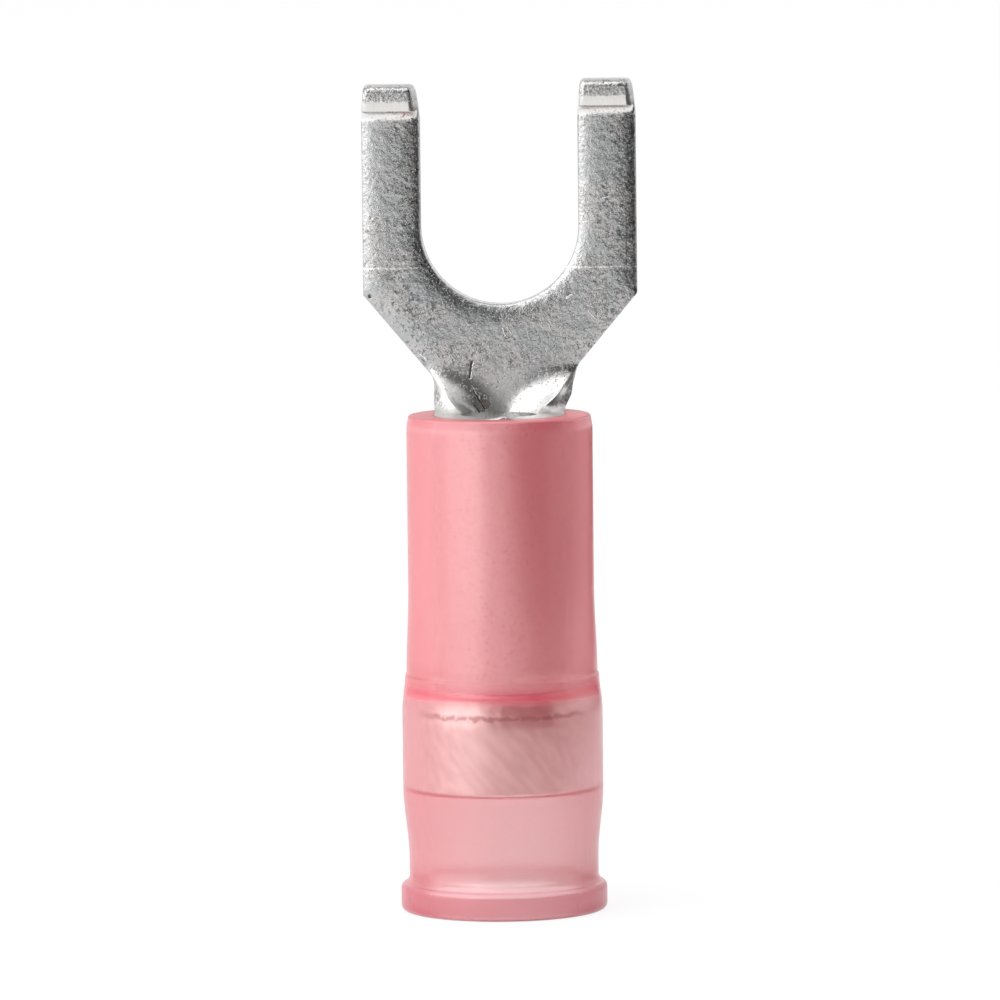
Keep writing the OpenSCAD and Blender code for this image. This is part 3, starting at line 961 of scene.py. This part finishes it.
# Painted shade near the floor: the pigment is darker at the flange.
pigment = nylon.mix(flange, pigment, (0.62, 0.11, 0.15, 1))
clear = nylon.add("ShaderNodeBsdfPrincipled", {}, {
    "Base Color": (1.0, 0.99, 0.985, 1),
    "Roughness": rough,
    "IOR": 1.5,
    "Transmission Weight": 1.0,
    "Normal": bump,
})
milky = nylon.add("ShaderNodeBsdfPrincipled", {}, {
    "Base Color": pigment,
    "Roughness": rough,
    "IOR": 1.5,
    "Normal": bump,
})
outside = nylon.ramp(radius + rim, 2.02, 2.1)
slanting = nylon.add("ShaderNodeLayerWeight", {}, {"Blend": 0.5}, 1)
thick = 0.33 + 0.16 * slanting + 0.2 * shoulder + 0.18 * flange + 0.05 * crown - 0.1 * band
body = nylon.add("ShaderNodeMixShader", {}, {0: thick * outside, 1: clear, 2: milky})
depth = nylon.add("ShaderNodeVolumeAbsorption", {}, {
    "Color": (0.97, 0.3, 0.36, 1), "Density": 300.0,
})
nylon.add("ShaderNodeOutputMaterial", {}, {"Surface": body, "Volume": depth})
print("nodes of the nylon:", len(nylon.tree.nodes))

# %% [markdown]
# ## Grip metal
# The ring under the nylon is plated too, and drawn through a die at a slant, which leaves
# long streaks. Painted shade darkens a ragged line where its end is turned in, broken up
# by noise. Streaks are one noise stretched along a turned axis.

# %% Grip metal finish
ring = Finish("grip_metal")
place = ring.millimetres()
streaks = ring.grain(ring.stretch(ring.turn(place, 40), (6, 6, 1)), 1, 3)
crumbs = ring.grain(place, 10, 3)
bump = ring.add("ShaderNodeBump", {}, {
    "Strength": 0.28, "Distance": 0.00003, "Height": streaks + crumbs * 0.5,
})
ring_z = ring.axis(place, "Z")
ragged = ring.grain(ring.shift(place, (3, 1, 7)), 4, 3, 0.7)
# Painted shade along the fold where the ring's end turns in.
fold_shade = ring.ramp(abs(ring_z - BENT_Z + 0.25 * (ragged - 0.5)), 0.07, 0.02) * ring.ramp(crumbs, 0.3, 0.5)
tone = ring.mix(ring.ramp(streaks, 0.3, 0.7), (0.82, 0.79, 0.76, 1), (0.98, 0.96, 0.93, 1))
tone = ring.mix(fold_shade * 0.8, tone, (0.25, 0.19, 0.18, 1))
ring.end(ring.add("ShaderNodeBsdfPrincipled", {}, {
    "Base Color": tone,
    "Metallic": 1.0,
    "Roughness": 0.3 + 0.15 * crumbs,
    "Normal": bump,
}))
print("nodes of the grip metal:", len(ring.tree.nodes))

# %% [markdown]
# ## The finished part
# The three pieces go into the scene with their finishes.

# %% Set the pieces in the scene
as_piece(sheet, "tinned_fork", "fork_and_barrel", [tin.material, cut.material])
as_piece(sleeve, "red_sleeve", "nylon_sleeve", [nylon.material], 40)
as_piece(grip, "grip_ring", "grip_sleeve", [ring.material], 40)

# %% Update the scene
bpy.context.view_layer.update()
